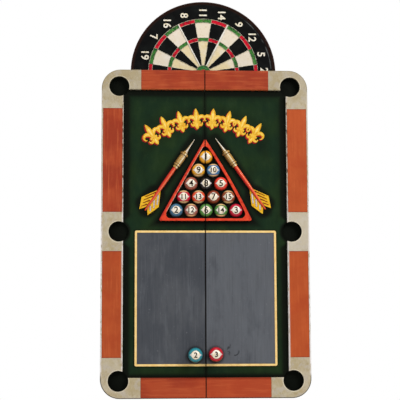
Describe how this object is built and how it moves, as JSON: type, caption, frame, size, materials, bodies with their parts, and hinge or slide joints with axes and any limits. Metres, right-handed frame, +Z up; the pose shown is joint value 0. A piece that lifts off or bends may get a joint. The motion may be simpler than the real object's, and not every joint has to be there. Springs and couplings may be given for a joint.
{
  "type": "dart board cabinet",
  "caption": "Wall cabinet for a dartboard, with two hinged doors faced like a pool table in relief, a chalkboard front and a half-round dartboard crest.",
  "frame": {"origin": "on the wall plane, behind the middle of the doors", "axes": "+X to the viewer's right, +Y into the wall, +Z up; the doors face -Y"},
  "size_m": [0.535, 0.1331, 1.0513],
  "materials": {
    "case_wood": "satin dark stain",
    "field_green": "painted, airbrushed shade, eggshell",
    "rail_orange": "painted and varnished, brush streaks",
    "casting_cream": "antiqued paint, satin",
    "slate": "matt chalkboard paint with a painted border",
    "rack_red": "gloss paint",
    "crest_paint": "painted dartboard face with raised wires",
    "sisal": "pressed fibre, matt",
    "steel": "zinc plated",
    "black_steel": "black enamel",
    "brass": "satin",
    "holder_wood": "stained, satin",
    "dart_gold": "metallic paint",
    "knob_teal": "gloss lacquer",
    "knob_red": "gloss lacquer",
    "ball_1": "gloss paint",
    "ball_2": "gloss paint",
    "ball_3": "gloss paint",
    "ball_4": "gloss paint",
    "ball_5": "gloss paint",
    "ball_6": "gloss paint",
    "ball_7": "gloss paint",
    "ball_8": "gloss paint",
    "ball_9": "gloss paint",
    "ball_10": "gloss paint",
    "ball_11": "gloss paint",
    "ball_12": "gloss paint",
    "ball_13": "gloss paint",
    "ball_14": "gloss paint",
    "ball_15": "gloss paint"
  },
  "bodies": {
    "cabinet": {"back_panel": "case_wood", "left_side_panel": "case_wood", "right_side_panel": "case_wood", "top_panel": "case_wood", "bottom_panel": "case_wood", "crest_board": "crest_paint", "board_bracket": "black_steel", "left_hanger_plate": "steel", "right_hanger_plate": "steel", "left_case_hinge_leaf": "brass", "left_hinge_pin": "brass", "right_case_hinge_leaf": "brass", "right_hinge_pin": "brass"},
    "dartboard": {"sisal_bed": "sisal", "steel_band": "black_steel", "spider": "steel", "number_ring": "steel", "centre_screw": "steel"},
    "left_door": {"left_door_panel": "field_green", "left_casting_frame": "casting_cream", "left_top_rail": "rail_orange", "left_upper_side_rail": "rail_orange", "left_lower_side_rail": "rail_orange", "left_bottom_rail": "rail_orange", "left_chalk_panel": "slate", "left_rack_half": "rack_red", "ball_1_left_half": "ball_1", "ball_9": "ball_9", "ball_4": "ball_4", "ball_8_left_half": "ball_8", "ball_11": "ball_11", "ball_13": "ball_13", "ball_2": "ball_2", "ball_12": "ball_12", "ball_6_left_half": "ball_6", "left_dart": "dart_gold", "left_knob": "knob_teal", "left_door_hinge_leaf": "brass", "left_dart_holder": "holder_wood"},
    "right_door": {"right_door_panel": "field_green", "right_casting_frame": "casting_cream", "right_top_rail": "rail_orange", "right_upper_side_rail": "rail_orange", "right_lower_side_rail": "rail_orange", "right_bottom_rail": "rail_orange", "right_chalk_panel": "slate", "right_rack_half": "rack_red", "ball_1_right_half": "ball_1", "ball_10": "ball_10", "ball_8_right_half": "ball_8", "ball_5": "ball_5", "ball_7": "ball_7", "ball_15": "ball_15", "ball_6_right_half": "ball_6", "ball_14": "ball_14", "ball_3": "ball_3", "right_dart": "dart_gold", "right_knob": "knob_red", "right_door_hinge_leaf": "brass", "right_dart_holder": "holder_wood"}
  },
  "joints": [
    {"name": "left_door_hinge", "type": "hinge", "parent": "cabinet", "child": "left_door", "pos_m": [-0.264, -0.0715, 0], "axis": [0, 0, -1], "range_deg": [0, 175]},
    {"name": "right_door_hinge", "type": "hinge", "parent": "cabinet", "child": "right_door", "pos_m": [0.264, -0.0715, 0], "axis": [0, 0, 1], "range_deg": [0, 175]},
    {"name": "dartboard_turn", "type": "hinge", "parent": "cabinet", "child": "dartboard", "pos_m": [0, -0.038, 0.115], "axis": [0, 1, 0], "continuous": true}
  ]
}
